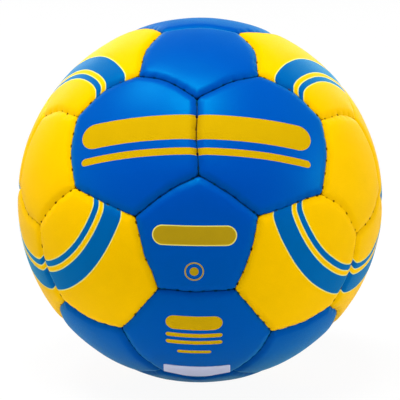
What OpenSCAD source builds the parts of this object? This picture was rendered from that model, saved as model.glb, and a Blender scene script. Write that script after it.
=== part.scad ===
// Hand-sewn handball: 32 rolled-edge cover panels over foam pads and cloth linings,
// ladder-stitched seams, a bladder and a moulded inflation valve.
// The front pentagon faces -Y with one corner up, the valve is on +Y and +Z is up.
// Dimensions are in millimetres and the origin is the centre of the ball.

/* [Ball] */
// Diameter over the crowns of the panels
ball_d = 188; // [160:1:220]

/* [Panel layers] */
// Thickness of the cover
cover_t = 1.2; // [0.8:0.1:1.8]
// Thickness of the foam pad behind the cover
foam_t = 1; // [0.6:0.1:1.6]
// Thickness of the cloth lining
lining_t = 0.8; // [0.5:0.1:1.2]
// Glue line between two layers
glue_gap = 0.05; // [0.03:0.01:0.1]

/* [Seams] */
// Gap between the turned-in edges of two panels
seam_gap = 0.25; // [0.15:0.05:0.5]
// How far a turned-in edge reaches in past the lining
hem_l = 1.9; // [1.9:0.1:3]
// Depth of the groove along a seam
groove_depth = 1.4; // [1:0.1:2]
// Width of the rolled edge beside a seam
roll_w = 4; // [3:0.1:6]

/* [Stitching] */
// Distance between two stitches
stitch_pitch = 6; // [5:0.5:9]
// Diameter of a stitch hole
stitch_hole_d = 0.9; // [0.7:0.05:1.1]
// Side of the flattened, waxed thread
thread_w = 0.6; // [0.4:0.05:0.6]

/* [Bladder] */
// Wall of the bladder
bladder_t = 1; // [0.6:0.1:1.6]
// Gap between the bladder and the turned-in edges
bladder_gap = 0.3; // [0.2:0.05:0.6]

/* [Valve] */
// Diameter of the valve boss in the panel hole
boss_d = 11; // [10:0.5:14]
// Gap around the boss in the panel, lining and ring
boss_gap = 0.25; // [0.15:0.05:0.5]
// How far the boss stays below the crown of the panel
boss_recess = 0.5; // [0.3:0.1:1]
// Diameter of the flange bonded to the bladder
flange_d = 34; // [26:1:40]
// Thickness of the bonded flange at its middle
flange_t = 1.2; // [0.8:0.1:1.3]
// Thickness of the bonded flange at its rim
flange_rim_t = 0.4; // [0.2:0.1:0.7]
// Length of the stem inside the bladder
stem_l = 12; // [10:0.5:18]
// Thickness of the stem's floor under the core
floor_t = 1.5; // [1:0.1:2.5]
// Gap between the core and its housing
core_gap = 0.05; // [0.02:0.01:0.1]
// Diameter of the core's shank
shank_d = 5.8; // [5:0.2:6.4]
// Diameter of the core's head
head_d = 8; // [7.6:0.2:8.6]
// Thickness of the core's head
head_t = 1.4; // [1:0.1:2]
// Diameter of the bulb that locks the core in its housing
bulb_d = 7.4; // [7:0.1:8]
// Diameter of the needle guide
needle_d = 2.2; // [2:0.1:2.4]
// Length of the needle guide
needle_l = 10; // [8:0.5:12]
// Width of the slit that closes behind the needle
slit_w = 0.2; // [0.1:0.05:0.3]
// Outer diameter of the cloth ring around the valve
ring_d = 30; // [22:1:36]
// Thickness of the cloth ring
ring_t = 0.6; // [0.4:0.1:0.6]

/* [Colours] */
// Colour of the blue panels
blue = "#0f5fc8";
// Colour of the yellow panels
yellow = "#ffce0a";
// Colour of the waxed thread
thread_brown = "#33241a";

/* [Hidden] */
$fn = 96;

// Radii of the layers, from the crown of a panel inwards
ball_r = ball_d / 2;
cover_in_r = ball_r - cover_t;
foam_out_r = cover_in_r - glue_gap;
foam_in_r = foam_out_r - foam_t;
lining_out_r = foam_in_r - glue_gap;
lining_in_r = lining_out_r - lining_t;
hem_tip_r = lining_in_r - hem_l;
bladder_r = hem_tip_r - bladder_gap;
ring_out_r = lining_in_r - glue_gap;

// Distances of the turned-in layers from the plane of their seam
cover_edge = seam_gap / 2;
lining_edge = cover_edge + cover_t + glue_gap;
hem_edge = lining_edge + lining_t;

// The stitch line lies half way along the turned-in edge
stitch_r = lining_in_r - hem_l / 2;
rail_edge = hem_edge + glue_gap + thread_w;

// Longer than any cut needs to be
over = 1;
reach = ball_d;

// Icosahedron directions: the front pole, two rings of five and the valve pole
ring_tilt = atan(2);
ring_step = 360 / 5;
function dirn(turn, tilt) = [sin(tilt) * sin(turn), -cos(tilt), sin(tilt) * cos(turn)];
POLES = concat(
    [dirn(0, 0)],
    [for (i = [0:4]) dirn(i * ring_step, ring_tilt)],
    [for (i = [0:4]) dirn((i + 1 / 2) * ring_step, 180 - ring_tilt)],
    [dirn(0, 180)]
);
function unit(v) = v / norm(v);
function middle(three) = unit(POLES[three[0]] + POLES[three[1]] + POLES[three[2]]);

// Angles from a panel's centre to the middle of its sides, and half the angle along a seam
corner_tilt = acos(unit(2 * POLES[0] + POLES[1]) * POLES[0]);
pentagon_tilt = atan(tan(corner_tilt) * cos(180 / 5));
hexagon_tilt = acos(middle([0, 1, 2]) * POLES[0]) - pentagon_tilt;
half_seam = asin(sin(corner_tilt) * sin(180 / 5));
stitches = floor(2 * half_seam * PI / 180 * ball_r / stitch_pitch);
stitch_step = 2 * half_seam / stitches;

// Rolled edge: an arc from the crown to the bottom of the groove, as [distance from the
// ball's centre line, distance from the seam plane]
// Share of the turn that the arc takes, with a faint crease for the rest
roll_turn_share = 0.87;
roll_angle = roll_w / ball_r * 180 / PI;
roll_start = ball_r * [cos(roll_angle), -sin(roll_angle)];
roll_end = [ball_r - groove_depth, 0];
roll_chord = norm(roll_end - roll_start);
roll_fall = atan2(roll_start[0] - roll_end[0], roll_end[1] - roll_start[1]) - roll_angle;
roll_r = roll_chord / 2 / sin(roll_fall * roll_turn_share);
roll_inward = unit([roll_start[1] - roll_end[1], roll_end[0] - roll_start[0]]);
roll_centre = (roll_start + roll_end) / 2
    + roll_inward * sqrt(roll_r * roll_r - roll_chord * roll_chord / 4);
// The cut starts past the crease, where the arc lies above the cover
roll_side = (roll_start[1] + roll_centre[1]) / 2;
// The cut runs on past the panel's corners by this angle
roll_run = over / ball_r * 180 / PI;

// Heights along the valve, from the centre of the ball
boss_top = ball_r - boss_recess;
flange_in_r = bladder_r + glue_gap;
stem_end = bladder_r - bladder_t - stem_l;
bulb_z = stem_end + floor_t + core_gap + bulb_d / 2;
guide_end = boss_top - needle_l;

// The flange's top is a flatter ball than its seat on the bladder, so it thins to its rim
flange_top = flange_in_r + flange_t;
flange_fall = flange_top - sqrt(flange_in_r * flange_in_r - flange_d * flange_d / 4) - flange_rim_t;
flange_out_r = (flange_d * flange_d / 4 + flange_fall * flange_fall) / (2 * flange_fall);

// Panels, numbered clockwise from the top as seen from the front: name, poles that the
// panel lies between, and true for blue
function wrap(i, first) = (i - first) % 5 + first;
PENTAGONS = concat(
    [["front_pentagon", 0, 1, 2, true]],
    [for (i = [1:5]) [str("front_ring_pentagon_", i), i, 0, wrap(i + 1, 1), i != 2 && i != 5]],
    [for (i = [6:10]) [str("back_ring_pentagon_", i - 5), i, 11, wrap(i + 1, 6), i % 2 == 0]],
    [["valve_pentagon", 11, 6, 7, true]]
);
HEXAGONS = concat(
    [for (i = [1:5]) [str("front_hexagon_", i), 0, i, wrap(i + 1, 1), i % 2 == 1]],
    [for (i = [1:5]) [str("front_belt_hexagon_", i), i, wrap(i + 1, 1), i + 5, i == 3]],
    [for (i = [1:5]) [str("back_belt_hexagon_", i), i, wrap(i + 9, 6), i + 5, i == 1]],
    [for (i = [1:5]) [str("back_hexagon_", i), 11, i + 5, wrap(i + 6, 6), i == 2 || i == 3 || i == 5]]
);
INNER = ["hexagon_linings", "pentagon_linings", "hexagon_foam_pads", "pentagon_foam_pads",
    "hexagon_seam_threads", "pentagon_seam_threads", "bladder", "valve_ring", "valve_housing",
    "valve_core"];

// A sphere whose poles lie clear of the panel that is cut from it
module ball(r) rotate([90, 0, 0]) sphere(r);

// Places children with +Z along up and +X towards the side that faces side_of
module aim(up, side_of) {
    y = unit(cross(up, side_of));
    x = cross(y, up);
    multmatrix([
        [x[0], y[0], up[0], 0],
        [x[1], y[1], up[1], 0],
        [x[2], y[2], up[2], 0],
        [0, 0, 0, 1]
    ]) children();
}

// Places a pentagon or a hexagon made in the module's own frame
module at_pentagon(p) aim(POLES[p[1]], middle([p[1], p[2], p[3]])) children();
module at_hexagon(p) aim(middle([p[1], p[2], p[3]]), POLES[p[1]]) children();

// Places the valve's pieces, which are made with +Z outwards
valve_pole = 11;
module at_valve() aim(POLES[valve_pole], POLES[1]) children();

// Repeats children in the frame of each seam: the seam plane is x = 0, the panel is on
// the -X side and +Z points at the middle of the seam
module at_seams(sides, tilt) {
    for (side = [0:sides - 1]) rotate([0, 0, side * 360 / sides]) rotate([0, tilt, 0]) children();
}

// Repeats children at each stitch of one seam
module at_stitches() {
    for (i = [0:stitches - 1]) rotate([(i + 1 / 2 - stitches / 2) * stitch_step, 0, 0]) {
        translate([0, 0, stitch_r]) children();
    }
}

// All that lies past a plane parallel to each seam plane
module past_seams(sides, tilt, edge) {
    at_seams(sides, tilt) translate([-edge, -reach, -reach]) cube([reach, 2 * reach, 2 * reach]);
}

// An arc about the X axis, centred on +Z, of a profile drawn as [distance from X, place on X]
module arc_along_seam(half_angle) {
    rotate([0, 90, 0]) rotate([0, 0, 180 - half_angle]) rotate_extrude(angle = 2 * half_angle) children();
}

// What the rolled edge takes off one side of a panel
module roll_cut() {
    arc_along_seam(half_seam + roll_run) difference() {
        translate([roll_centre[0], roll_side]) square([ball_r + over - roll_centre[0], over - roll_side]);
        translate(roll_centre) circle(roll_r);
    }
}

// A stitch hole through the turned-in edges of one panel
module stitch_hole() {
    translate([-hem_edge - over, 0, 0]) rotate([0, 90, 0]) {
        cylinder(h = hem_edge + 2 * over, d = stitch_hole_d);
    }
}

// The hole for the valve boss
module valve_hole() cylinder(h = reach, d = boss_d + 2 * boss_gap);

// A layer with its sides turned in and pierced, open to the inside of the ball; children
// are cut away too
module turned_in(sides, tilt, out_r, t, edge) {
    difference() {
        difference() {
            ball(out_r);
            ball(hem_tip_r);
            past_seams(sides, tilt, edge);
            difference() {
                ball(out_r - t);
                past_seams(sides, tilt, edge + t);
            }
            children();
        }
        at_seams(sides, tilt) at_stitches() stitch_hole();
    }
}

// A cover panel with rolled edges
module cover(sides, tilt) {
    turned_in(sides, tilt, ball_r, cover_t, cover_edge) {
        at_seams(sides, tilt) roll_cut();
        children();
    }
}

// A foam pad that fills the space between a cover and its lining
module foam_pad(sides, tilt) {
    difference() {
        ball(foam_out_r);
        ball(foam_in_r);
        past_seams(sides, tilt, lining_edge);
        children();
    }
}

// A cloth lining with its sides turned in behind those of the cover
module lining(sides, tilt) turned_in(sides, tilt, lining_out_r, lining_t, lining_edge) children();

module pentagon_cover(p) {
    color(p[4] ? blue : yellow) at_pentagon(p) cover(5, pentagon_tilt) {
        if (p[1] == valve_pole) valve_hole();
    }
}

module hexagon_cover(p) color(p[4] ? blue : yellow) at_hexagon(p) cover(6, hexagon_tilt);

module pentagon_foam_pads() {
    color("ivory") for (p = PENTAGONS) {
        at_pentagon(p) foam_pad(5, pentagon_tilt) if (p[1] == valve_pole) valve_hole();
    }
}

module hexagon_foam_pads() color("ivory") for (p = HEXAGONS) at_hexagon(p) foam_pad(6, hexagon_tilt);

module pentagon_linings() {
    color("linen") for (p = PENTAGONS) {
        at_pentagon(p) lining(5, pentagon_tilt) if (p[1] == valve_pole) valve_hole();
    }
}

module hexagon_linings() color("linen") for (p = HEXAGONS) at_hexagon(p) lining(6, hexagon_tilt);

// The thread of one seam: a rail along each side and a rung through each pair of holes
module ladder_stitch() {
    rung_angle = thread_w / stitch_r * 180 / PI;
    space = stitch_step - rung_angle;
    difference() {
        arc_along_seam((stitches - 1) * stitch_step / 2 + rung_angle / 2) {
            translate([stitch_r - thread_w / 2, -rail_edge]) square([thread_w, 2 * rail_edge]);
        }
        for (i = [1:stitches - 1]) rotate([(i - stitches / 2) * stitch_step, 0, 0]) {
            arc_along_seam(space / 2) translate([stitch_r - thread_w, thread_w - rail_edge]) {
                square([2 * thread_w, 2 * (rail_edge - thread_w)]);
            }
        }
    }
}

module pentagon_seam_threads() {
    color(thread_brown) for (p = PENTAGONS) at_pentagon(p) at_seams(5, pentagon_tilt) ladder_stitch();
}

module hexagon_seam_threads() {
    color(thread_brown) for (i = [0:10], j = [i + 1:11]) if (POLES[i] * POLES[j] > 0) {
        aim(unit(POLES[i] + POLES[j]), cross(POLES[i], POLES[j])) ladder_stitch();
    }
}

// A hollow rubber ball with a hole for the valve stem
module bladder() {
    color("dimgray") at_valve() difference() {
        ball(bladder_r);
        ball(bladder_r - bladder_t);
        cylinder(h = reach, d = boss_d + 2 * glue_gap);
    }
}

// A cloth ring that keeps the panel from tearing round the valve
module valve_ring() {
    color("beige") at_valve() rotate_extrude() intersection() {
        difference() {
            circle(ring_out_r);
            circle(ring_out_r - ring_t);
        }
        translate([boss_d / 2 + boss_gap, 0]) square([ring_d / 2 - boss_d / 2 - boss_gap, reach]);
    }
}

// Profile of the space that the core fills, grown by gap
module core_space(gap) {
    translate([0, boss_top - head_t - gap]) square([head_d / 2 + gap, head_t + gap]);
    translate([0, bulb_z]) square([shank_d / 2 + gap, boss_top - bulb_z]);
    intersection() {
        translate([0, bulb_z]) circle(bulb_d / 2 + gap);
        translate([0, stem_end]) square([reach, reach]);
    }
}

// The slit that the needle opens, between two heights
module needle_slit(low, high) {
    translate([-needle_d / 2, -slit_w / 2, low]) cube([needle_d, slit_w, high - low]);
}

// A moulded rubber boss and stem, with a flange that is bonded to the bladder
module valve_housing() {
    color("black") at_valve() difference() {
        rotate_extrude() difference() {
            union() {
                translate([0, stem_end]) square([boss_d / 2, boss_top - stem_end]);
                difference() {
                    intersection() {
                        translate([0, flange_top - flange_out_r]) circle(flange_out_r);
                        square([flange_d / 2, reach]);
                    }
                    circle(flange_in_r);
                }
            }
            core_space(core_gap);
        }
        needle_slit(stem_end - over, stem_end + floor_t + over);
    }
}

// A rubber plug with a needle guide that narrows to a slit, and a bulb that locks it
module valve_core() {
    color("dimgray") at_valve() difference() {
        rotate_extrude() core_space(0);
        translate([0, 0, guide_end]) cylinder(h = needle_l + over, d = needle_d);
        needle_slit(stem_end, guide_end + over);
    }
}

hexagon_linings();
pentagon_linings();
hexagon_foam_pads();
pentagon_foam_pads();
hexagon_seam_threads();
pentagon_seam_threads();
bladder();
valve_ring();
valve_housing();
valve_core();
for (p = HEXAGONS) hexagon_cover(p);
for (p = PENTAGONS) pentagon_cover(p);
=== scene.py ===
# %% [markdown]
# # A hand-sewn handball
#
# The ball in the photo has a cover of 20 hexagons and 12 pentagons, cut from grained
# synthetic leather, sewn inside out and closed over a bladder. What the eye reads is the
# rolled edge beside each seam, the row of stitches that pulls it in, and the soft shine of
# the grain. This lesson builds those with mesh code around the CAD model, which gives the
# ball's size and the pieces inside it.

# %% Load the CAD model
import math

import bpy
import numpy as np
from mathutils import Matrix, Vector
from mathutils.bvhtree import BVHTree


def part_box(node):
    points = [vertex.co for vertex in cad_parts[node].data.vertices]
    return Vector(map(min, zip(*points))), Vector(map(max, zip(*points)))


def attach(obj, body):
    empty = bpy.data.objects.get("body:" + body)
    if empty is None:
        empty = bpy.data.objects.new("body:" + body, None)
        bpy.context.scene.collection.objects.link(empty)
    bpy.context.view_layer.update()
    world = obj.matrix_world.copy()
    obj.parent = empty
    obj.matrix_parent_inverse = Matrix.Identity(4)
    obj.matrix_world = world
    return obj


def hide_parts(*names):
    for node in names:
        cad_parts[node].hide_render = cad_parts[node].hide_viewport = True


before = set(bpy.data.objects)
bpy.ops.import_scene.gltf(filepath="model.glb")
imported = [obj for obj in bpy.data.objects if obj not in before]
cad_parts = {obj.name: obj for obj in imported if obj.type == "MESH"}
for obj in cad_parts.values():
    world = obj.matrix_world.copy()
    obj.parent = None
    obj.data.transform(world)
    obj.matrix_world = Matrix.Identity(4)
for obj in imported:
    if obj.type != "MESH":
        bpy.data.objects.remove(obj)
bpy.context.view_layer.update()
MM = 0.001
ball_r = -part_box("front_pentagon")[0][1] / MM
print("Ball radius in mm:", round(ball_r, 2))

# %% [markdown]
# ## The plan of the cover
#
# The panels follow an icosahedron: a pentagon sits on each of its 12 corners and a hexagon
# on each of its 20 faces. One corner points at the viewer, along -Y, so two angles place
# everything. The same few lines place the panels in the CAD source, so the looks land on
# the solids.

# %% Directions of the corners
ring_tilt = math.atan(2)
ring_step = math.tau / 5


def direction(turn, tilt):
    """A unit vector: turn runs clockwise from the top as seen from the front."""
    away = math.sin(tilt)
    return np.array([away * math.sin(turn), -math.cos(tilt), away * math.cos(turn)])


poles = [direction(0, 0)]
poles += [direction(i * ring_step, ring_tilt) for i in range(5)]
poles += [direction((i + 0.5) * ring_step, math.pi - ring_tilt) for i in range(5)]
poles += [direction(0, math.pi)]
VALVE = 11
print("Corners:", len(poles))


# %% Angles and lengths of a panel
def unit(vector):
    return vector / np.linalg.norm(vector)


def middle(*which):
    """The direction halfway between these corners."""
    return unit(sum(poles[i] for i in which))


corner_tilt = math.acos(unit(2 * poles[0] + poles[1]) @ poles[0])
pentagon_tilt = math.atan(math.tan(corner_tilt) * math.cos(math.pi / 5))
hexagon_tilt = math.acos(middle(0, 1, 2) @ poles[0]) - pentagon_tilt
half_seam = math.asin(math.sin(corner_tilt) * math.sin(math.pi / 5))
seam_l = 2 * half_seam * ball_r
stitches = 6
stitch_mm = seam_l / stitches
print("Length of a seam and of a stitch in mm:", round(seam_l, 1), round(stitch_mm, 1))

# %% [markdown]
# The table gives each panel the name of its CAD node, with the direction of its middle and
# of its first side. The back has the colours of the front, turned half over.

# %% Table of the panels
def panel_table():
    """Yields each panel's node, number of sides, centre and the direction of its first side."""
    def ring(i, first):
        return (i - first) % 5 + first

    yield "front_pentagon", 5, poles[0], middle(0, 1, 2)
    yield "valve_pentagon", 5, poles[VALVE], middle(VALVE, 6, 7)
    for i in range(1, 6):
        yield f"front_ring_pentagon_{i}", 5, poles[i], middle(i, 0, ring(i + 1, 1))
        yield f"back_ring_pentagon_{i}", 5, poles[i + 5], middle(i + 5, VALVE, ring(i + 6, 6))
        yield f"front_hexagon_{i}", 6, middle(0, i, ring(i + 1, 1)), poles[0]
        yield f"front_belt_hexagon_{i}", 6, middle(i, ring(i + 1, 1), i + 5), poles[i]
        yield f"back_belt_hexagon_{i}", 6, middle(i, ring(i + 9, 6), i + 5), poles[i]
        yield f"back_hexagon_{i}", 6, middle(VALVE, i + 5, ring(i + 6, 6)), poles[VALVE]


panels = list(panel_table())
print("Panels:", len(panels))

# %% Colours of the panels
blue_hexagons = {"front_belt_hexagon_3", "back_belt_hexagon_1"}
blue_hexagons |= {f"front_hexagon_{i}" for i in (1, 3, 5)}
blue_hexagons |= {f"back_hexagon_{i}" for i in (2, 3, 5)}
yellow_pentagons = {f"front_ring_pentagon_{i}" for i in (2, 5)}
yellow_pentagons |= {f"back_ring_pentagon_{i}" for i in (2, 4)}
pentagons = {name for name, sides, *_ in panels if sides == 5}
blue_panels = blue_hexagons | (pentagons - yellow_pentagons)
print("Blue panels:", len(blue_panels))

# %% [markdown]
# ## Camera
#
# A long lens about 1.4 m away looks slightly down on the ball. The distance, the tilt and
# the focal length come from the corners of the panels in the photo, so the CAD ball falls
# on the photographed one.

# %% Camera
camera_from_ball = Vector((0.01896, -1.35372, 0.28576))
camera_up = Vector((-0.01239, 0.20636, 0.97840))
lens_mm = 241.2


def look_from(place, up):
    """A rotation that looks from place at the origin, with up as the top of the picture."""
    back = place.normalized()
    right = up.cross(back).normalized()
    return Matrix((right, back.cross(right), back)).transposed().to_4x4()


def add_object(name, data):
    """Puts a mesh, a lamp or a camera into the scene."""
    made = bpy.data.objects.new(name, data)
    bpy.context.scene.collection.objects.link(made)
    return made


bpy.context.scene.view_settings.view_transform = "Standard"
camera_data = bpy.data.cameras.new("camera")
camera_data.lens = lens_mm
camera = add_object("camera", camera_data)
camera.matrix_world = Matrix.Translation(camera_from_ball) @ look_from(camera_from_ball, camera_up)
bpy.context.scene.camera = camera
print("Camera distance in mm:", round(camera_from_ball.length / MM))


# %% [markdown]
# ## Shader maths
#
# Each pattern of the leather is arithmetic on distances. Wrapping a socket in a small class
# lets that arithmetic read as Python: `1 - mask` adds a Math node and gives its output back.

# %% A value that can be added and multiplied
class Shade:
    """A value in a node tree."""

    def __init__(self, tree, socket=None):
        self.tree = tree
        self.socket = socket

    def node(self, kind, settings=None, inputs=None, out=0):
        """Adds a node with its settings, then plugs values or Shades into its inputs."""
        made = self.tree.nodes.new(kind)
        for name, value in (settings or {}).items():
            setattr(made, name, value)
        for name, value in (inputs or {}).items():
            if isinstance(value, Shade):
                value.plug(made.inputs[name])
            else:
                made.inputs[name].default_value = value
        return Shade(self.tree, made.outputs[out] if made.outputs else None)

    def plug(self, socket):
        """Links this value to the socket of a node."""
        self.tree.links.new(self.socket, socket)

    def math(self, operation, *values):
        """A Math node on just these values. This one takes part only if it is given."""
        return self.node("ShaderNodeMath", {"operation": operation}, dict(enumerate(values)))

    def __add__(self, other):
        return self.math("ADD", self, other)

    def __radd__(self, other):
        return self.math("ADD", other, self)

    def __sub__(self, other):
        return self.math("SUBTRACT", self, other)

    def __rsub__(self, other):
        return self.math("SUBTRACT", other, self)

    def __mul__(self, other):
        return self.math("MULTIPLY", self, other)

    def __rmul__(self, other):
        return self.math("MULTIPLY", other, self)

    def abs(self):
        return self.math("ABSOLUTE", self)

    def root(self):
        return self.math("SQRT", self)

    def larger(self, other):
        return self.math("MAXIMUM", self, other)

    def above(self, level):
        return self.math("GREATER_THAN", self, level)

    def fade(self, start, end):
        """1 up to start, then an eased fall to 0 at end. An end below start turns it round: 0 up
        to end, then an eased rise to 1 at start."""
        settings = {"interpolation_type": "SMOOTHSTEP"}
        inputs = {"Value": self, "From Min": start, "From Max": end, "To Min": 1.0, "To Max": 0.0}
        return self.node("ShaderNodeMapRange", settings, inputs)

    def mix(self, colour_a, colour_b):
        """colour_a where this is 0 and colour_b where it is 1."""
        inputs = {"Factor": self, 6: colour_a, 7: colour_b}
        return self.node("ShaderNodeMix", {"data_type": "RGBA"}, inputs, out=2)


def any_of(masks):
    """The largest of several masks at each place."""
    found = masks[0]
    for mask in masks[1:]:
        found = found.larger(mask)
    return found


# %% [markdown]
# Colours are written as they look on the screen, from 0 to 255. Blender works in linear
# light, so one function converts them.

# %% Colours
def screen(red, green, blue):
    """A colour given as screen values, as linear light with an alpha of 1."""
    def linear(level):
        level = level / 255
        return level / 12.92 if level <= 0.04045 else ((level + 0.055) / 1.055) ** 2.4

    return (linear(red), linear(green), linear(blue), 1.0)


# %% [markdown]
# Every material starts from a principled shader. Its patterns are made in millimetres on the
# ball itself, so they don't need a flat layout of the mesh and keep their scale everywhere.

# %% Materials and patterns in millimetres
def new_material(name, settings):
    """A material with a principled shader, its node tree and that shader."""
    made = bpy.data.materials.new(name)
    made.use_nodes = True
    shader = made.node_tree.nodes["Principled BSDF"]
    for socket, value in settings.items():
        shader.inputs[socket].default_value = value
    return made, made.node_tree, shader


def object_point(tree):
    """The place on the ball in mm, as a vector and as three numbers."""
    place = Shade(tree).node("ShaderNodeTexCoord", out="Object")
    scaled = place.node("ShaderNodeVectorMath", {"operation": "SCALE"}, {0: place, "Scale": 1 / MM})
    parts = place.node("ShaderNodeSeparateXYZ", inputs={0: scaled})
    return scaled, [Shade(tree, socket) for socket in parts.socket.node.outputs]


def noise(place, size, detail=2.0, out=0):
    """A soft noise, from 0 to 1, whose lumps are about size mm across."""
    inputs = {"Vector": place, "Scale": 1 / size, "Detail": detail}
    return place.node("ShaderNodeTexNoise", inputs=inputs, out=out)


# %% [markdown]
# ## Leather
#
# The cover is a synthetic leather: a coloured skin embossed with a fine pebble grain over a
# cloth base. The grain is a Voronoi pattern, whose cell edges are the little valleys, bent by
# a noise so that no cell is straight. It feeds the bump and the roughness, because real grain
# is seen by its shine and hardly by its colour. The leather adds a little painted shade in its
# valleys.

# %% Pebble grain
grain_cell = 0.85
grain_bend = 0.7
grain_bend_size = 1.4
valley_w = 0.28
pebble_share = 0.75
pore_size = 0.5


def grain(place):
    """Height of the pebble grain, from 0 in the valleys to 1."""
    bend = noise(place, grain_bend_size, out=1)
    shift = place.node("ShaderNodeVectorMath", {"operation": "SCALE"}, {0: bend, "Scale": grain_bend})
    moved = place.node("ShaderNodeVectorMath", {"operation": "ADD"}, {0: place, 1: shift})
    inputs = {"Vector": moved, "Scale": 1 / grain_cell}
    valleys = place.node("ShaderNodeTexVoronoi", {"feature": "DISTANCE_TO_EDGE"}, inputs)
    pebbles = 1 - valleys.fade(0.0, valley_w)
    return pebbles * pebble_share + noise(place, pore_size) * (1 - pebble_share)


# %% [markdown]
# The mesh carries three values that it alone knows: the distance from the seam, the distance
# along it and how bold the seam looks. The shader turns them into painted shade: a dark line
# where the groove lies in shade, a faint halo of painted shade beside it, and dark holes where
# the thread goes in. On a hand-sewn ball the thread isn't equally tight everywhere, so a noise
# lets some holes show and closes others.

# %% Painted shade of the groove and of the stitch holes
# Sizes in mm of the painted shade: the dark line in the groove, its halo and each dark hole
groove_w = 0.5
shade_halo_w = 4.0
groove_share = 0.75
hole_shade_half_l = (0.6, 0.975)
hole_shade_half_w = (0.3, 0.75)
tight_size = 4.0
tight_range = (0.6, 0.35)


def seam_marks(tree, place):
    """The distance from the seam, then masks of the painted shade in its groove and in its holes."""
    seam, along, bold = (
        Shade(tree).node("ShaderNodeAttribute", {"attribute_name": kind}, out="Fac")
        for kind in ("seam", "along", "bold")
    )
    # Painted shade, darkest in the groove and fading over the halo beside it
    groove = seam.fade(0.0, groove_w) * groove_share + seam.fade(0.0, shade_halo_w) * (1 - groove_share)
    from_hole = (along.math("FRACT", along * (1 / stitch_mm)) - 0.5).abs() * stitch_mm
    # Painted shade in each stitch hole
    hole_shade = from_hole.fade(*hole_shade_half_l) * seam.fade(*hole_shade_half_w)
    tight = noise(place, tight_size, 0.0).fade(*tight_range)
    return seam, groove * bold, hole_shade * tight


# %% [markdown]
# One function makes the leather of every panel, with painted shade in its grooves and stitch
# holes. Ink lies in the grain and reflects in its own tint, so a printed leather has a second
# shader, mixed in where the ink is. Behind the hem the cloth base shows instead of the skin.

# %% Leather material
mottle_size = 9.0
mottle_detail = 3.0
plain_value = 0.95
mottle_value = 0.07
# Painted shade in the valleys of the grain, which come out darker than the pebbles
valley_shade_value = 0.04
matt = 0.42
pebble_gloss = 0.12
mottle_matt = 0.06
grain_depth = 0.035
grain_strength = 0.6
backing_range = (-0.8, -0.4)
backing_cloth = screen(222, 216, 200)


def leather(name, skin, prints=None, ink_skin=None):
    """Leather in one colour. prints is a function that gives layers of a mask and an ink, and
    ink_skin is the leather whose shine and painted groove shade the ink looks most like."""
    made, tree, shader = new_material(name, skin["shine"])
    place, parts = object_point(tree)
    seam, groove, hole_shade = seam_marks(tree, place)
    pebbles = grain(place)
    mottled = noise(place, mottle_size, mottle_detail)
    colour, groove_colour = skin["base"], skin["groove"]
    layers = prints(parts) if prints else []
    for mask, ink in layers:
        colour = mask.mix(colour, ink)
    if layers:
        covered = any_of([mask for mask, ink in layers])
        # Over a print the groove's painted shade takes the colour of the ink's own skin
        groove_colour = covered.mix(groove_colour, ink_skin["groove"])
    # Mottled tone at random, and painted shade in the valleys of the grain
    shaded = place.node("ShaderNodeHueSaturation", inputs={
        "Color": colour,
        "Value": plain_value + mottled * mottle_value + pebbles * valley_shade_value,
    })
    # Paints the shade of the groove and of the stitch holes onto the colour
    marked = hole_shade.mix(groove.mix(shaded, groove_colour), skin["hole"])
    bump = place.node("ShaderNodeBump", inputs={
        "Strength": grain_strength,
        "Distance": grain_depth * MM,
        "Height": pebbles,
    })
    finish = {
        "Base Color": seam.fade(*backing_range).mix(marked, backing_cloth),
        "Roughness": matt - pebbles * pebble_gloss + mottled * mottle_matt,
        "Normal": bump,
    }
    for socket, shade in finish.items():
        shade.plug(shader.inputs[socket])
    if layers:
        printed = place.node("ShaderNodeBsdfPrincipled", inputs={**finish, **ink_skin["shine"]})
        bare = Shade(tree, shader.outputs[0])
        mixed = place.node("ShaderNodeMixShader", inputs={0: covered, 1: bare, 2: printed})
        mixed.plug(tree.nodes["Material Output"].inputs["Surface"])
    return made


# %% [markdown]
# The two skins differ in their colours, in the painted shade of their grooves and stitch holes,
# and in the tint of their shine. A tinted, weak reflection keeps each colour pure in the light of
# the lamps, and the blue one has a thin sheen too, which lifts it towards its rim.

# %% Blue and yellow skin
blue_skin = {
    "base": screen(0, 54, 156),
    # Painted shade in the groove, then in the stitch holes
    "groove": screen(0, 22, 112),
    "hole": screen(0, 8, 66),
    "shine": {
        "Specular IOR Level": 0.01,
        "Specular Tint": (0.0, 38.0, 54.0, 1.0),
        "Sheen Weight": 0.25,
        "Sheen Tint": (0.0, 1.0, 1.0, 1.0),
        "Sheen Roughness": 0.5,
    },
}
yellow_skin = {
    "base": screen(235, 184, 0),
    # Painted shade in the groove, then in the stitch holes
    "groove": screen(104, 62, 0),
    "hole": screen(74, 26, 0),
    "shine": {
        "Specular IOR Level": 0.01,
        "Specular Tint": (3.0, 2.2, 0.0, 1.0),
    },
}
blue_plain = leather("blue_leather", blue_skin)
yellow_plain = leather("yellow_leather", yellow_skin)
print("Nodes in a plain leather:", len(blue_plain.node_tree.nodes))

# %% [markdown]
# ## Prints
#
# The prints are ink on the leather, so they are colours and not pieces. Each is a distance
# to a simple figure on the ball: a bar with round ends, a disc or a ring. The back of the
# ball is the front turned half over about the X axis, so one fold of the coordinates gives
# it the same prints. The bars and the badge stand a little to the left of the middle, as on
# panels that are sewn by hand.

# %% Figures
print_shift = 1.2
ink_edge = 0.12


def print_plane(parts, elevation):
    """Places across and up, in mm, on a print centred at this elevation on the ball's front or,
    turned over, on its back."""
    x, y, z = parts
    turned = 1 - 2 * y.above(0.0)
    e = math.radians(elevation)
    return x + print_shift, z * turned * math.cos(e) - y.abs() * math.sin(e)


def bar(across, up, length, height, low=0.0):
    """Distance in mm from a bar with round ends, less than zero inside."""
    past_end = (across.abs() - (length - height) / 2).larger(0.0)
    above = up - low
    return (past_end * past_end + above * above).root() - height / 2


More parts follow.
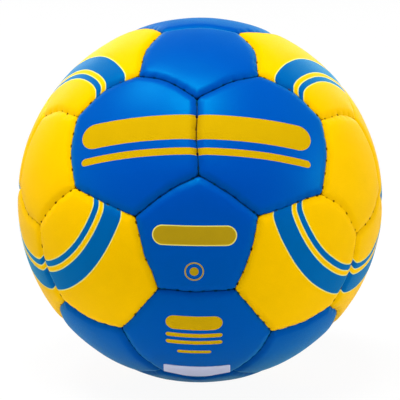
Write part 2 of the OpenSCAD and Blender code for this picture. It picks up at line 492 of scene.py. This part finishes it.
def inked(distance):
    """1 inside a figure and 0 outside, with a crisp edge."""
    return distance.fade(-ink_edge, ink_edge)


# %% Bars under each other
# Sizes are the length, the height and the place above the middle of each bar, in mm
band_ink = screen(194, 156, 4)
band_elevation = 31.7
band_sizes = [(112.0, 13.0, 4.0), (112.0, 3.6, -8.5)]
stack_ink = screen(195, 158, 8)
stack_elevation = -37.4
stack_sizes = [(28.0, 9.0, 15.0), (28.0, 2.8, 6.5), (28.0, 2.8, 1.2), (17.0, 2.4, -6.5)]


def stacked_bars(elevation, sizes, ink):
    """Bars of these sizes, as a function for leather."""
    def draw(parts):
        across, up = print_plane(parts, elevation)
        return [(any_of([inked(bar(across, up, *size)) for size in sizes]), ink)]

    return draw


band_prints = stacked_bars(band_elevation, band_sizes, band_ink)
stack_prints = stacked_bars(stack_elevation, stack_sizes, stack_ink)
blue_band = leather("blue_leather_band", blue_skin, band_prints, yellow_skin)
blue_stack = leather("blue_leather_stack", blue_skin, stack_prints, yellow_skin)
print("Bars:", len(band_sizes) + len(stack_sizes))

# %% A bar with a rim, above a dot in a ring
badge_ink = screen(169, 141, 20)
pale_edge = screen(224, 216, 100)
badge_elevation = 1.3
badge_l = 40.0
badge_h = 9.0
rim_width = 0.5
dot_drop = 18.0
dot_r = 2.2
dot_ring_r = 4.4
dot_ring_half_w = 0.35


def badge_prints(parts):
    """A bar with a pale rim, above a dot in a ring."""
    across, up = print_plane(parts, badge_elevation)
    strip = bar(across, up, badge_l, badge_h)
    down = up + dot_drop
    from_dot = (across * across + down * down).root()
    ring = (from_dot - dot_ring_r).abs() - dot_ring_half_w
    marks = any_of([inked(strip), inked(ring), inked(from_dot - dot_r)])
    return [(inked(strip - rim_width), pale_edge), (marks, badge_ink)]


blue_badge = leather("blue_leather_badge", blue_skin, badge_prints, yellow_skin)

# %% Rings about the yellow pentagons
ring_ink = screen(0, 72, 150)
ring_radius = 60.0
ring_width = 10.0
thin_ring_radius = 50.5
thin_ring_width = 3.0


def ring_prints(pole):
    """Two rings about a yellow pentagon and about its mirror image, as a function for leather."""
    def draw(parts):
        x, y, z = parts
        along = x.abs() * pole[0] + y * pole[1] + z * pole[2]
        away = along.math("ARCCOSINE", along * (1 / ball_r)) * ball_r
        wide = (away - ring_radius).abs() - ring_width / 2
        thin = (away - thin_ring_radius).abs() - thin_ring_width / 2
        rims = inked(wide - rim_width).larger(inked(thin - rim_width))
        rings = inked(wide).larger(inked(thin))
        return [(rims, pale_edge), (rings, ring_ink)]

    return draw


yellow_front = leather("yellow_leather_front_rings", yellow_skin, ring_prints(poles[2]), blue_skin)
yellow_back = leather("yellow_leather_back_rings", yellow_skin, ring_prints(poles[7]), blue_skin)

# %% [markdown]
# One material serves all panels that share a colour and a print.

# %% Material of each panel
printed_panels = {
    "front_hexagon_1": blue_band, "front_hexagon_5": blue_band,
    "back_hexagon_2": blue_band, "back_hexagon_3": blue_band,
    "front_pentagon": blue_badge,
    "front_hexagon_3": blue_stack, "back_hexagon_5": blue_stack,
}


def panel_material(name):
    if name in printed_panels:
        return printed_panels[name]
    if name in blue_panels:
        return blue_plain
    if name in yellow_pentagons:
        return yellow_plain
    return yellow_front if name.startswith("front") else yellow_back


print("Blue panels with a print:", len(printed_panels))


# %% [markdown]
# ## Panel shape
#
# A panel is a shallow dish. Its outside is the ball, rolled over into a groove at each seam,
# and its sides turn in and run down to the stitch line. It is built in its own axes, with Z
# through its middle, where each side lies on a plane through the ball's centre.

# %% Sides and axes of a panel
def side_frames(sides, tilt):
    """The outward normal, the middle and the run of each side, for a panel centred on +Z."""
    turns = np.arange(sides) * math.tau / sides
    c, s = np.cos(turns), np.sin(turns)
    normal = np.stack([c * math.cos(tilt), s * math.cos(tilt), np.full(sides, -math.sin(tilt))], 1)
    centre = np.stack([c * math.sin(tilt), s * math.sin(tilt), np.full(sides, math.cos(tilt))], 1)
    run = np.stack([-s, c, np.zeros(sides)], 1)
    return normal, centre, run


class Panel:
    """A cover panel: its name, its sides and its own axes. The next cell adds how bold each of
    its seams is."""

    def __init__(self, name, sides, centre, side_of):
        self.name = name
        self.sides = sides
        self.centre = centre
        self.tilt = hexagon_tilt if sides == 6 else pentagon_tilt
        self.frames = side_frames(sides, self.tilt)
        y = unit(np.cross(centre, side_of))
        self.axes = np.stack([np.cross(y, centre), y, centre], 1)
        self.pierced = name == "valve_pentagon"

    def world(self, vectors):
        """Vectors in the panel's axes, as vectors in the ball's frame."""
        return vectors @ self.axes.T


covers = [Panel(*row) for row in panels]

# %% [markdown]
# Two yellow panels meet in a seam that hardly shows, while two blue ones draw a dark line.
# So each side of a panel looks up the panel that it meets.

# %% How bold each seam is
boldness_by_blues = (0.12, 0.55, 1.0)


def boldness(panel):
    """How bold the seam of each side is, from 0 to 1."""
    found = []
    for normal in panel.world(panel.frames[0]):
        mirrored = panel.centre - 2 * (panel.centre @ normal) * normal
        over = max(covers, key=lambda other: other.centre @ mirrored)
        blues = (panel.name in blue_panels) + (over.name in blue_panels)
        found.append(boldness_by_blues[blues])
    return np.array(found)


for cover in covers:
    cover.bold = boldness(cover)
print("Faintest seam:", min(cover.bold.min() for cover in covers))

# %% [markdown]
# Leather and thread are never quite even. A sum of waves in random directions makes a smooth
# field for that, with a fixed seed, so the ball is the same each time.

# %% A smooth random field
waves = 12
wave_spread = (0.7, 1.3)


def wobble(points, size, seed):
    """A smooth random field over space, about -1 to 1, with lumps about size mm across."""
    chance = np.random.default_rng(seed)
    total = np.zeros(len(points))
    for _ in range(waves):
        way = unit(chance.normal(size=3)) * math.pi / size * chance.uniform(*wave_spread)
        total += np.sin(points @ way + chance.uniform(0, math.tau))
    return total / math.sqrt(waves)


# %% [markdown]
# Every point of the mesh is a direction on the ball, so one function can find its distance
# from all the seams and press it in: a wide soft fall, the shoulder of the foam, a tight fold
# at the edge, and a pucker at each stitch, where the thread pulls the two leathers together.

# %% How far the edge falls in
soft_fall = 0.35
soft_fall_w = 10.0
shoulder_fall = 1.3
shoulder_w = 4.5
quiet_shoulder = 0.75
fold_fall = 0.4
fold_w = 0.6
pucker_fall = 0.2
pucker_l = 1.3
pucker_w = 2.2


def edge_fall(inside, near, pull, bold):
    """How deep the leather lies, in mm. inside is its distance from each side, and near is the
    distance from the next stitch of that side."""
    falls = soft_fall * np.clip(1 - inside / soft_fall_w, 0, 1) ** 2
    shoulder = np.clip(1 - inside / shoulder_w, 0, 1) ** 2
    falls += shoulder_fall * shoulder * (quiet_shoulder + (1 - quiet_shoulder) * bold)
    folded = np.clip(1 - inside / fold_w, 0, 1)
    falls += fold_fall * (1 - np.sqrt(1 - folded ** 2)) * bold
    falls += pull * pucker_fall * np.exp(-(near / pucker_l) ** 2 - (inside / pucker_w) ** 2)
    return np.cbrt((falls ** 3).sum(1))


# %% Dents of the soft surface
dent_depth = 0.05
dent_size = 9
dent_seed = 11
mean_dent = 0.04
crease_depth = 0.03
crease_size = 2.2
crease_seed = 23
crease_w = 3.0


def surface_dents(world, inside):
    """How deep the leather is dented, in mm, with fine creases near the seams."""
    dents = dent_depth * wobble(world, dent_size, dent_seed) + mean_dent
    near_seam = np.exp(-(inside.min(1) / crease_w) ** 2)
    return dents + crease_depth * near_seam * wobble(world, crease_size, crease_seed)


# %% [markdown]
# At a stitch the two leathers also part a little, and at a corner they leave a small pit. A
# faint seam is closed tighter than a bold one. Between two stitches the upper leather bulges
# over the lower one, so the line of the seam is scalloped. Both panels move alike there, so
# their gap stays as it is.

# %% How far the edge moves sideways
seam_gap = 0.25
opening = 0.16
opening_l = 0.45
opening_w = 0.8
pit_fall = 0.25
pit_open = 0.25
pit_w = 1.2
scallop = 0.08
scallop_l = 1.3
scallop_w = 2.5
seam_down = np.array([0.1, 0.2, -1.0])


def drawn_back(inside, near, corner, pull, bold):
    """How far the leather draws back from each side, in mm."""
    opened = pull * opening * np.exp(-(near / opening_l) ** 2 - (inside / opening_w) ** 2)
    at_corner = pit_open * np.exp(-(corner / pit_w) ** 2)[:, None] * (inside < pit_w)
    closed = seam_gap / 2 * (1 - bold ** 2) * np.exp(-(inside / fold_w) ** 2)
    return opened + at_corner - closed


def scalloped(inside, near, pull, bold, lower_side):
    """How far the leather bulges over each side, in mm. lower_side is 1 where it faces down."""
    bulge = 1 - 2 * np.exp(-(near / scallop_l) ** 2)
    return pull * scallop * bulge * np.exp(-(inside / scallop_w) ** 2) * bold * lower_side


# %% Press a panel into shape
pull_change = 0.4
pull_size = 11
pull_seed = 5
pull_limits = (0.3, 1.5)


def pressed(directions, panel):
    """Presses directions into the outside of a panel. Gives places in mm in the ball's frame,
    the distance from the nearest seam, the distance along it from its middle, and how bold
    the nearest seam looks."""
    normal, centre, run = panel.frames
    distance = np.arcsin(np.clip(-directions @ normal.T, -1, 1)) * ball_r
    inside = np.clip(distance, 0, None)
    along = np.abs(np.arctan2(directions @ run.T, directions @ centre.T)) * ball_r
    near = np.abs((along / stitch_mm) % 1 - 0.5) * stitch_mm
    near = np.where(along > seam_l / 2, stitch_mm / 2, near)
    corner = np.hypot(seam_l / 2 - along, inside).min(1)
    world = panel.world(directions) * ball_r
    pull = np.clip(1 + pull_change * wobble(world, pull_size, pull_seed), *pull_limits)[:, None]
    depth = edge_fall(inside, near, pull, panel.bold) + surface_dents(world, inside)
    depth += pit_fall * np.exp(-(corner / pit_w) ** 2) * panel.bold.min()
    lower_side = np.sign(panel.world(normal) @ seam_down)
    back = drawn_back(inside, near, corner, pull, panel.bold)
    back -= scalloped(inside, near, pull, panel.bold, lower_side)
    moved = directions * (ball_r - depth)[:, None] - back @ normal
    side = inside.argmin(1)
    rows = np.arange(len(side))
    return panel.world(moved), inside[rows, side], along[rows, side], panel.bold[side]


# %% [markdown]
# A hand-sewn ball isn't quite regular. In the photo the seams bow away from the middle of the
# front, more so towards the sides, and some corners lie off the ideal ones. All that is sewn
# is shifted by the same smooth field, so no gap opens. The back bows away from the valve in
# the same way, and the valve itself stays where it is.

# %% Bows of the seams
bow = 2.4
bow_reach = 10.0
least_facing = 0.1


def seam_bows():
    """The middle of each seam, its run, and its bow in mm as a vector."""
    found = {}
    for panel in covers:
        for normal, mid, run in zip(*(panel.world(kind) for kind in panel.frames)):
            facing = normal[1] if mid[1] < 0 else -normal[1]
            if facing > least_facing:
                found[tuple(np.round(mid, 3))] = mid, run, normal * bow * math.sqrt(1 - mid[1] ** 2)
    return list(found.values())


bows = seam_bows()
print("Seams that bow:", len(bows))


def bow_shift(ways):
    """How far the bows move each direction, in mm."""
    shift = np.zeros_like(ways)
    for centre, run, way in bows:
        near = ways @ centre > math.cos(2 * half_seam)
        along = np.arctan2(ways[near] @ run, ways[near] @ centre) / half_seam
        across = np.arcsin(ways[near] @ unit(way)) * ball_r
        weight = np.cos(np.clip(along, -1, 1) * math.pi / 2) ** 2 * np.exp(-(across / bow_reach) ** 2)
        shift[near] += weight[:, None] * way
    return shift


# %% Corners that lie off the ideal ones
nudge_reach = 10.0

# Corners whose sum points at the place, then its shift to the right and up, in mm
nudges = [
    ((0, 0, 1), 0.5, -1.0), ((0, 0, 2), -0.5, 1.0), ((0, 0, 4), 0.0, -0.5), ((0, 1), -1.0, 0.0),
    ((1, 1, 0), -1.0, 1.5), ((1, 1, 5), 0.5, -1.0), ((1, 1, 2), -1.5, 0.0), ((1, 1, 10), -1.5, 0.0),
    ((2, 2, 0), 0.0, -1.5), ((2, 2, 6), -1.5, 1.0), ((5, 5, 4), 0.0, 2.5), ((4, 4, 5), 0.0, -1.0),
    ((3, 3, 0), 0.0, -1.0), ((3, 3, 2), 0.0, -2.0), ((4, 4, 3), 0.0, -2.5), ((3, 3, 4), 0.0, -2.5),
    ((3, 4), 0.0, -6.0),
]


def nudge_shift(ways):
    """How far the nudges move each direction, in mm."""
    shift = np.zeros_like(ways)
    for which, right, up in nudges:
        centre = middle(*which)
        across = unit(np.cross((0, 0, 1), centre))
        climb = np.cross(centre, across)
        away = np.linalg.norm(ways - centre, axis=1, keepdims=True) * ball_r
        shift += np.exp(-(away / nudge_reach) ** 2) * (right * across + up * climb)
    return shift


# %% The whole field
drift = 0.15
drift_size = 7
drift_seed = 41
calm_r = 10.0
calm_fade = 8.0


def nudged(points):
    """Shifts places in mm a little to the side, and keeps their distance from the centre."""
    radius = np.linalg.norm(points, axis=1, keepdims=True)
    ways = points / radius
    shift = bow_shift(ways) + nudge_shift(ways)
    for axis in range(3):
        shift[:, axis] += drift * wobble(ways * ball_r, drift_size, drift_seed + axis)
    from_valve = np.linalg.norm(ways - poles[VALVE], axis=1, keepdims=True) * ball_r
    shift *= np.clip((from_valve - calm_r) / calm_fade, 0, 1)
    shift -= (shift * ways).sum(1, keepdims=True) * ways
    turned = ways * ball_r + shift
    return turned / np.linalg.norm(turned, axis=1, keepdims=True) * radius


# %% [markdown]
# The mesh of a panel is a stack of loops, from the middle of the outside over the edge to
# the middle of the inside. Loops near the seam are close together and have many points, for
# the stitches. Towards the middle each loop may have half as many points as the last, so
# that the faces stay about as wide as they are long.

# %% Loops of a panel
def loop(panel, distance, count):
    """Directions of a loop that keeps this angle from every side, with count points a side."""
    a, b = math.sin(panel.tilt), math.cos(panel.tilt) * math.cos(math.pi / panel.sides)
    theta = math.acos(math.sin(distance) / math.hypot(a, b)) - math.atan2(b, a)
    half = math.asin(math.sin(theta) * math.sin(math.pi / panel.sides) / math.cos(distance))
    angle = np.linspace(-half, half, count, endpoint=False)
    found = []
    for normal, centre, run in zip(*panel.frames):
        row = np.cos(angle)[:, None] * centre + np.sin(angle)[:, None] * run
        found.append(math.cos(distance) * row - math.sin(distance) * normal)
    return np.concatenate(found)


# %% Where the loops lie
points_per_side = 48
edge_loops = 18
edge_zone = 8.0
edge_crowding = 2.1
first_step = 1.1
step_growth = 1.18
longest_step = 3.2
last_gap = 0.7
halve_at = 0.8


def loop_plan(tilt, fewest):
    """Distance from the seam, as an angle, and points per side, of each loop of the outside."""
    share = np.arange(edge_loops + 1) / edge_loops
    edge = seam_gap / 2 + (edge_zone - seam_gap / 2) * share ** edge_crowding
    plan = [(distance, points_per_side) for distance in edge]
    inner = tilt * ball_r
    step, count = first_step, points_per_side
    distance = edge_zone + step
    while distance < inner - step * last_gap:
        if count > fewest and step > halve_at * (inner - distance) / count:
            count //= 2
        plan.append((distance, count))
        step = min(step * step_growth, longest_step)
        distance += step
    return [(distance / ball_r, count) for distance, count in plan]


# %% Faces between the loops
def joined(upper, lower, first_upper, first_lower):
    """Faces between two loops that have as many points, or one twice as many as the other."""
    if lower > upper:
        return [face[::-1] for face in joined(lower, upper, first_lower, first_upper)]
    u = [first_upper + i % upper for i in range(upper + 2)]
    w = [first_lower + i % lower for i in range(lower + 2)]
    if upper == lower:
        return [(u[i], u[i + 1], w[i + 1], w[i]) for i in range(upper)]
    faces = []
    for i in range(lower):
        faces.append((u[2 * i], u[2 * i + 1], w[i]))
        faces.append((u[2 * i + 1], w[i + 1], w[i]))
        faces.append((u[2 * i + 1], u[2 * i + 2], w[i + 1]))
    return faces


def loop_faces(sizes, ring):
    """Faces of a stack of loops with these numbers of points. It closes into a ring, or onto
    two more points, in the middle of the outside and of the inside."""
    firsts = [sum(sizes[:i]) for i in range(len(sizes))]
    faces = []
    for i in range(len(sizes) - 1):
        faces += joined(sizes[i], sizes[i + 1], firsts[i], firsts[i + 1])
    if ring:
        return faces + joined(sizes[-1], sizes[0], firsts[-1], firsts[0])
    outer, inner, top = sizes[0], sizes[-1], sum(sizes)
    faces += [((i + 1) % outer, i, top) for i in range(outer)]
    faces += [(top + 1, firsts[-1] + i, firsts[-1] + (i + 1) % inner) for i in range(inner)]
    return faces


# %% [markdown]
# The valve's panel has a round hole. Its loops change from a pentagon at the seam to a
# circle at the hole by moving each point along its own meridian.

# %% Hole for the valve
hole_r = 5.75
rim_points = 24
edge_angle = seam_gap / 2 / ball_r


def face_loop(panel, distance, count):
    """A loop on a face of the panel, moved outwards where the valve's hole needs the room."""
    ways = loop(panel, distance, count)
    if not panel.pierced:
        return ways
    edge = loop(panel, edge_angle, points_per_side)
    tilt = np.arccos(np.clip(ways[:, 2], -1, 1))
    turn = np.arctan2(ways[:, 1], ways[:, 0])
    rim = np.arccos(np.clip(edge[:, 2], -1, 1))
    rim = np.interp(turn, np.arctan2(edge[:, 1], edge[:, 0]), rim, period=math.tau)
    hole = math.asin(hole_r / ball_r)
    tilt = hole + tilt * (1 - hole / rim)
    return np.stack([np.sin(tilt) * np.cos(turn), np.sin(tilt) * np.sin(turn), np.cos(tilt)], 1)


# %% [markdown]
# A loop is its places, followed by the three values that the leather reads. Where the cloth
# base shows, the distance from the seam is less than zero, which no real one is.

# %% Loops that no seam reaches
backing = -1.0
hole_seam = 9.0
middle_seam = 30.0


def hidden_loop(places, seam=backing):
    """A loop of these places, at one distance from the seam."""
    flat = np.zeros(len(places))
    return places, flat + seam, flat, flat


def hole_loop(panel, radius, count, seam=backing):
    """A round loop at the rim of the valve's hole."""
    turn = np.arange(count) / count * math.tau - math.pi / panel.sides
    tilt = math.asin(hole_r / radius)
    ways = [math.sin(tilt) * np.cos(turn), math.sin(tilt) * np.sin(turn), np.full(count, math.cos(tilt))]
    return hidden_loop(panel.world(np.stack(ways, 1)) * radius, seam)


# %% The three parts of a panel
cover_t = 1.2
hem_tip_r = 89.0
hem_foot_r = 90.5
bevel = 0.8
fold_foot_r = ball_r - soft_fall - shoulder_fall - fold_fall
inner_r = ball_r - cover_t
wall_shares = (0.12, 0.35, 0.65, 1.0)
wall_blend = 1.6
fewest_points = 3
inner_skip = 3


def outer_face(panel, plan):
    """The outer face, from the middle to the seam."""
    found = [pressed(face_loop(panel, *entry), panel) for entry in reversed(plan)]
    if panel.pierced:
        found[0] = hole_loop(panel, ball_r, rim_points * panel.sides, hole_seam)
    return found


def side_wall(panel, outline, along, bold):
    """The side: from the rolled edge down to the stitch line, and up again behind the hem."""
    found = []
    for share in wall_shares:
        radius = fold_foot_r + (hem_tip_r - fold_foot_r) * share
        ways = panel.world(loop(panel, math.asin(seam_gap / 2 / radius), points_per_side))
        blend = max(0.0, 1 - share * wall_blend)
        places = ways * radius * (1 - blend) + (outline + ways * (radius - fold_foot_r)) * blend
        found.append((places, along * 0, along, bold))
    wall = seam_gap / 2 + cover_t
    steps = ((hem_tip_r, wall), (hem_foot_r, wall), (inner_r - bevel, wall), (inner_r, wall + bevel))
    for radius, in_from in steps:
        ways = panel.world(loop(panel, math.asin(in_from / radius), points_per_side))
        found.append(hidden_loop(ways * radius))
    return found


def inner_face(panel, plan):
    """The inner face, from the seam to the middle, with fewer loops where it has no hole."""
    inner_plan = [entry for entry in plan if entry[0] * ball_r > edge_zone]
    inner_plan = inner_plan[::1 if panel.pierced else inner_skip]
    found = [hidden_loop(panel.world(face_loop(panel, *entry)) * inner_r) for entry in inner_plan]
    if panel.pierced:
        found[-1] = hole_loop(panel, inner_r, len(found[-1][0]))
    return found


# %% Mesh of a panel
def panel_mesh(panel):
    """The closed mesh of one cover panel, with the values that the leather reads."""
    plan = loop_plan(panel.tilt, rim_points if panel.pierced else fewest_points)
    loops = outer_face(panel, plan)
    outline, _, along, bold = loops[-1]
    loops += side_wall(panel, outline, along, bold)
    loops += inner_face(panel, plan)
    faces = loop_faces([len(places) for places, *_ in loops], panel.pierced)
    places, *values = [list(kind) for kind in zip(*loops)]
    if not panel.pierced:
        outer_r = np.linalg.norm(loops[0][0][0])
        places.append(np.stack([panel.centre * outer_r, panel.centre * inner_r]))
        for kind, ends in zip(values, ([middle_seam, backing], [0.0, 0.0], [0.0, 0.0])):
            kind.append(np.array(ends))
    mesh = bpy.data.meshes.new(panel.name)
    mesh.from_pydata(nudged(np.concatenate(places)) * MM, [], faces)
    for label, kind in zip(("seam", "along", "bold"), values):
        layer = mesh.attributes.new(label, "FLOAT", "POINT")
        layer.data.foreach_set("value", np.concatenate(kind).astype(np.float32))
    mesh.shade_smooth()
    mesh.update()
    return mesh


# %% [markdown]
# Every panel stands for its CAD node and rides on the ball's one body. The real ball has no
# moving parts.

# %% Make the panels
triangles = 0
for cover in covers:
    mesh = panel_mesh(cover)
    mesh.materials.append(panel_material(cover.name))
    piece = add_object(cover.name + "_leather", mesh)
    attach(piece, "root")
    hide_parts(cover.name)
    "blue_cover" if cover.name in blue_panels else "yellow_cover"
    triangles += sum(len(face.vertices) - 2 for face in mesh.polygons)
print("Panels made, triangles:", triangles)

# %% [markdown]
# ## Floor, backdrop and light
#
# The photo is a studio shot on white. The floor is pale, and for camera and mirror rays it
# adds a white glow, so the picture's background comes out white while the ball's shadow
# stays and no extra light reaches the ball.

# %% Floor
WHITE = (1.0, 1.0, 1.0, 1.0)
fibre_size = 40.0
glow_share = 0.94
floor_size = 6.0


def seen_or_mirrored(start):
    """1 for the rays that look for a background: of the camera, a reflection or glass."""
    rays = ("Is Camera Ray", "Is Glossy Ray", "Is Transmission Ray")
    return any_of([start.node("ShaderNodeLightPath", out=ray) for ray in rays])


def paper(name):
    """Pale paper that looks white to the camera and keeps a faint shadow."""
    made = bpy.data.materials.new(name)
    made.use_nodes = True
    tree = made.node_tree
    tree.nodes.clear()
    start = Shade(tree)
    fibres = noise(object_point(tree)[0], fibre_size)
    tint = fibres.mix(screen(235, 235, 235), screen(240, 240, 240))
    paint = start.node("ShaderNodeBsdfDiffuse", inputs={"Color": tint})
    glow = start.node("ShaderNodeEmission", inputs={"Color": WHITE, "Strength": 1.0})
    share = seen_or_mirrored(start) * glow_share
    mixed = start.node("ShaderNodeMixShader", inputs={0: share, 1: paint, 2: glow})
    start.node("ShaderNodeOutputMaterial", inputs={"Surface": mixed})
    return made


bpy.ops.mesh.primitive_plane_add(size=floor_size, location=(0, 0, -ball_r * MM))
floor = bpy.context.object
floor.name = "floor"
floor.data.materials.append(paper("pale_paper"))
print("Floor in metres:", floor_size)

# %% World
soft_light = 0.1


def studio_world():
    """White where the camera or a reflection looks, and a soft grey light for the rest."""
    world = bpy.data.worlds.new("studio")
    world.use_nodes = True
    world.node_tree.nodes.clear()
    start = Shade(world.node_tree)
    white = start.node("ShaderNodeBackground", inputs={"Color": WHITE, "Strength": 1.0})
    soft = start.node("ShaderNodeBackground", inputs={"Color": WHITE, "Strength": soft_light})
    mixed = start.node("ShaderNodeMixShader", inputs={0: seen_or_mirrored(start), 1: soft, 2: white})
    start.node("ShaderNodeOutputWorld", inputs={"Surface": mixed})
    bpy.context.scene.world = world


studio_world()

# %% [markdown]
# The light falls mostly from above, as the shine on the upper panels and the darker underside
# of the ball show. Weaker lamps at the sides and behind keep the rims from going dark. Every
# lamp is a square softbox, because a small lamp would draw a spot on the leather.

# %% Lamps
# Place and size in metres, and power in watts
lamps = {
    "over_left_lamp": ((-0.68, 0.05, 1.52), 0.4, 13.5),
    "top_lamp": ((-0.05, -0.35, 1.6), 0.45, 13.0),
    "over_front_lamp": ((-0.1, -0.75, 1.45), 0.8, 13.0),
    "high_left_lamp": ((-1.1, -0.3, 1.1), 0.8, 2.5),
    "high_right_lamp": ((1.1, -0.3, 1.1), 0.8, 1.5),
    "left_lamp": ((-1.6, -0.1, 0.3), 0.8, 1.5),
    "right_lamp": ((1.6, -0.1, 0.3), 0.8, 10.0),
    "back_left_lamp": ((-0.7, 1.4, 0.5), 0.8, 6.0),
    "back_right_lamp": ((0.7, 1.4, 0.5), 0.8, 6.0),
}
for name, (place, size, power) in lamps.items():
    light = bpy.data.lights.new(name, "AREA")
    light.size = size
    light.energy = power
    lamp = add_object(name, light)
    lamp.matrix_world = Matrix.Translation(place) @ look_from(Vector(place), Vector((0, 0, 1)))
print("Power of the lamps in watts:", sum(power for *_, power in lamps.values()))

# %% [markdown]
# ## Inner pieces
#
# The bladder, the cloth ring, the valve's housing and its core are the CAD meshes as they
# are. Only the valve shows, but each gets the look of its own material: matte stuff with fine
# lumps, and for cloth a weave of crossed waves.

# %% Matte stuff
lump_detail = 4.0
lump_share = 0.3
weave_share = 0.35
lump_gloss = 0.1
lump_strength = 0.5


def plain_stuff(name, colour_a, colour_b, roughness, lump, depth, weave=0.0):
    """A matte material with fine lumps and, for cloth, a weave of this pitch in mm."""
    made, tree, shader = new_material(name, {})
    place, parts = object_point(tree)
    height = noise(place, lump, lump_detail)
    if weave:
        rows = [place.math("SINE", part * (math.tau / weave)) for part in parts]
        height = height * lump_share + (rows[0] * rows[1] * rows[2] + 1) * weave_share
    height.mix(colour_a, colour_b).plug(shader.inputs["Base Color"])
    (roughness - height * lump_gloss).plug(shader.inputs["Roughness"])
    bump = place.node("ShaderNodeBump", inputs={
        "Strength": lump_strength,
        "Distance": depth * MM,
        "Height": height,
    })
    bump.plug(shader.inputs["Normal"])
    return made


# %% Looks of the inner pieces
# Two colours and the roughness, then the lumps' size, their depth and the weave, in mm
cotton = plain_stuff("lining_cloth", screen(214, 206, 186), screen(240, 234, 218), 0.9, 3.0, 0.12, 0.9)
foam = plain_stuff("closed_foam", screen(224, 218, 200), screen(244, 240, 226), 0.85, 0.7, 0.08)
waxed_thread = plain_stuff("waxed_thread", screen(30, 22, 18), screen(66, 50, 40), 0.55, 0.4, 0.05)
latex = plain_stuff("bladder_latex", screen(26, 26, 28), screen(46, 46, 50), 0.6, 4.0, 0.05)
valve_rubber = plain_stuff("valve_rubber", screen(18, 18, 20), screen(34, 34, 38), 0.5, 0.8, 0.02)
core_rubber = plain_stuff("core_rubber", screen(44, 44, 46), screen(70, 70, 74), 0.5, 0.8, 0.02)

inner_looks = {
    "hexagon_linings": cotton, "pentagon_linings": cotton, "valve_ring": cotton,
    "hexagon_foam_pads": foam, "pentagon_foam_pads": foam,
    "hexagon_seam_threads": waxed_thread, "pentagon_seam_threads": waxed_thread,
    "bladder": latex, "valve_housing": valve_rubber, "valve_core": core_rubber,
}
for name, look in inner_looks.items():
    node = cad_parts[name]
    node.data.materials.clear()
    node.data.materials.append(look)
print("Inner pieces:", len(inner_looks))

# %% [markdown]
# The pads, the linings and the threads are sewn with the covers, so they follow the same
# irregular seams. Each is a copy of its CAD mesh with every point shifted by the field, and
# held below the dents of the covers.

# %% Sewn layers
sewn_slots = {
    "hexagon_linings": "lining_cloth", "pentagon_linings": "lining_cloth",
    "hexagon_foam_pads": "foam", "pentagon_foam_pads": "foam",
    "hexagon_seam_threads": "thread", "pentagon_seam_threads": "thread",
}
pad_top_r = 92.6
for name, slot in sewn_slots.items():
    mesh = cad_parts[name].data.copy()
    places = np.empty(3 * len(mesh.vertices), np.float32)
    mesh.vertices.foreach_get("co", places)
    moved = nudged(places.reshape(-1, 3) / MM)
    reach = np.linalg.norm(moved, axis=1, keepdims=True)
    moved *= np.minimum(1, pad_top_r / reach) * MM
    mesh.vertices.foreach_set("co", moved.astype(np.float32).ravel())
    mesh.update()
    layer = add_object(name + "_sewn", mesh)
    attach(layer, "root")
    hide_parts(name)
print("Sewn layers:", len(sewn_slots))

# %% [markdown]
# The bottom front panel carries a small paper sticker. It is a thin curved sheet that lies
# on the leather, and it is left blank.

# %% Shape of the sticker
sticker_w = 34.0
sticker_h = 14.3
sticker_elevation = -55.0
sticker_corner = 1.2
sticker_columns = 48
sticker_rows = 22


def sticker_ways():
    """Directions of the sticker's points, row by row, with its round corners."""
    e = math.radians(sticker_elevation)
    right = np.array([1.0, 0, 0])
    up = np.array([0, math.sin(e), math.cos(e)])
    out = np.array([0, -math.cos(e), math.sin(e)])
    across = np.linspace(-sticker_w / 2, sticker_w / 2, sticker_columns)
    climb = np.linspace(-sticker_h / 2, sticker_h / 2, sticker_rows)
    a, c = np.meshgrid(across, climb)
    short = np.clip(np.abs(c) - (sticker_h / 2 - sticker_corner), 0, None)
    inset = sticker_corner - np.sqrt(np.clip(sticker_corner ** 2 - short ** 2, 0, None))
    a = a * (1 - inset / (sticker_w / 2))
    ways = a[..., None] / ball_r * right + c[..., None] / ball_r * up + out
    return (ways / np.linalg.norm(ways, axis=2, keepdims=True)).reshape(-1, 3)


def sheet_faces(columns, rows):
    """Faces of a thin sheet: its top, its underside and the edge all round."""
    size = columns * rows
    cells = [r * columns + i for r in range(rows - 1) for i in range(columns - 1)]
    top = [(k, k + 1, k + 1 + columns, k + columns) for k in cells]
    under = [tuple(size + k for k in face[::-1]) for face in top]
    rim = list(range(columns)) + [r * columns + columns - 1 for r in range(1, rows)]
    rim += [size - 2 - i for i in range(columns - 1)] + [r * columns for r in range(rows - 2, 0, -1)]
    return top + under + [(rim[i - 1], size + rim[i - 1], size + k, k) for i, k in enumerate(rim)]


# %% Lay the sticker on the leather
sticker_t = 0.12
sticker_sink = 0.05


def leather_radius(mesh, ways):
    """Distance in mm from the middle of the ball to the leather, in each direction."""
    tree = BVHTree.FromPolygons([v.co for v in mesh.vertices], [f.vertices for f in mesh.polygons])
    found = []
    for way in ways:
        start = Vector(way) * 2 * ball_r * MM
        hit = tree.ray_cast(start, -start)[0]
        found.append(hit.length / MM if hit else ball_r)
    return np.array(found)[:, None]


sheet_ways = sticker_ways()
lies_on = leather_radius(bpy.data.objects["front_hexagon_3_leather"].data, sheet_ways)
sheet = np.concatenate([sheet_ways * (lies_on + sticker_t), sheet_ways * (lies_on - sticker_sink)])
sheet_mesh = bpy.data.meshes.new("sticker")
sheet_mesh.from_pydata(sheet * MM, [], sheet_faces(sticker_columns, sticker_rows))
sheet_mesh.shade_smooth()
sticker_paper = plain_stuff("sticker_paper", screen(196, 200, 226), screen(206, 210, 234), 0.45, 2.0, 0.01)
sheet_mesh.materials.append(sticker_paper)
sticker = add_object("sticker", sheet_mesh)
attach(sticker, "root")
print("Sticker, mm:", sticker_w, "x", sticker_h)
